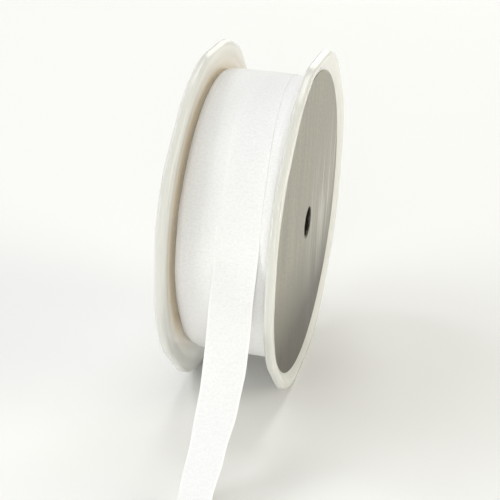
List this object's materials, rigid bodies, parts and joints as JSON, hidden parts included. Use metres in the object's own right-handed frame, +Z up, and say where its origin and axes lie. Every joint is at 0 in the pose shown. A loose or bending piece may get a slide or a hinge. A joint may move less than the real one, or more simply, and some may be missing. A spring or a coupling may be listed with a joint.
{
  "type": "roll of ribbon on a spool",
  "caption": "Narrow silky ribbon wound on a plastic spool with flatted flanges and a round label; it stands on its flats and the loose end falls forward onto the table.",
  "frame": {"origin": "middle of the footprint, tail included, on the table that the spool's flats rest on", "axes": "+X along the spool's axis towards the labelled flange, -Y the way the loose tail comes forward, +Z up"},
  "size_m": [0.0326, 0.164, 0.0978],
  "materials": {
    "milky_plastic": "milky, slightly see-through, satin",
    "label_card": "satin-coated card",
    "silky_ribbon": "fine plain weave, soft low sheen"
  },
  "bodies": {
    "root": {"flange_near": "milky_plastic", "flange_far": "milky_plastic", "spool_hub": "milky_plastic", "label_disc": "label_card", "ribbon_roll": "silky_ribbon", "ribbon_tail": "silky_ribbon"}
  },
  "joints": []
}
